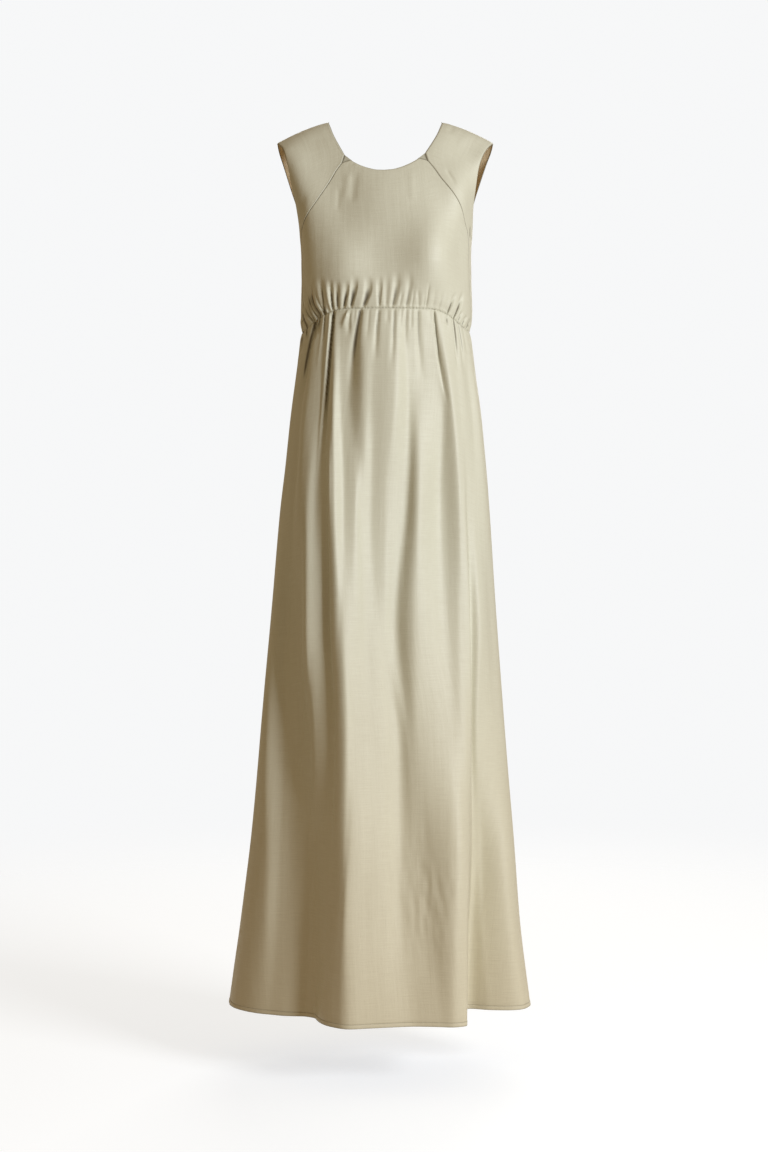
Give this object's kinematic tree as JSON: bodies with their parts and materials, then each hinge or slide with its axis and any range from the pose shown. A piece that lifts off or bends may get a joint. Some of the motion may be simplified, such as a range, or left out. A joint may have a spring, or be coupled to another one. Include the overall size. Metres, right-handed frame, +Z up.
{
  "type": "maxi dress",
  "caption": "Sleeveless maxi dress, filled out and hollow: scooped neck, wide shoulders, curved front seams, gathered empire waist and a long A-line skirt with soft folds.",
  "frame": {"origin": "midway between the two ends of the shoulder line at the neck, where the wearer's shoulders carry the dress", "axes": "+Z up, from the hem to the shoulders; -Y is the front of the dress, +Y its back; +X is to the right for someone who looks at the front"},
  "size_m": [0.4685, 0.3422, 1.3662],
  "materials": {
    "sage_cloth": "soft satin-faced weave with fine uneven cross threads",
    "underlap_cloth": "the same cloth, seen in the notch at the neckline"
  },
  "bodies": {
    "root": {"front_panel": "sage_cloth", "side_panel_left": "sage_cloth", "side_panel_right": "sage_cloth", "back_panel": "sage_cloth", "skirt_front": "sage_cloth", "skirt_back": "sage_cloth", "neck_tab_left": "underlap_cloth", "neck_tab_right": "underlap_cloth"}
  },
  "joints": []
}
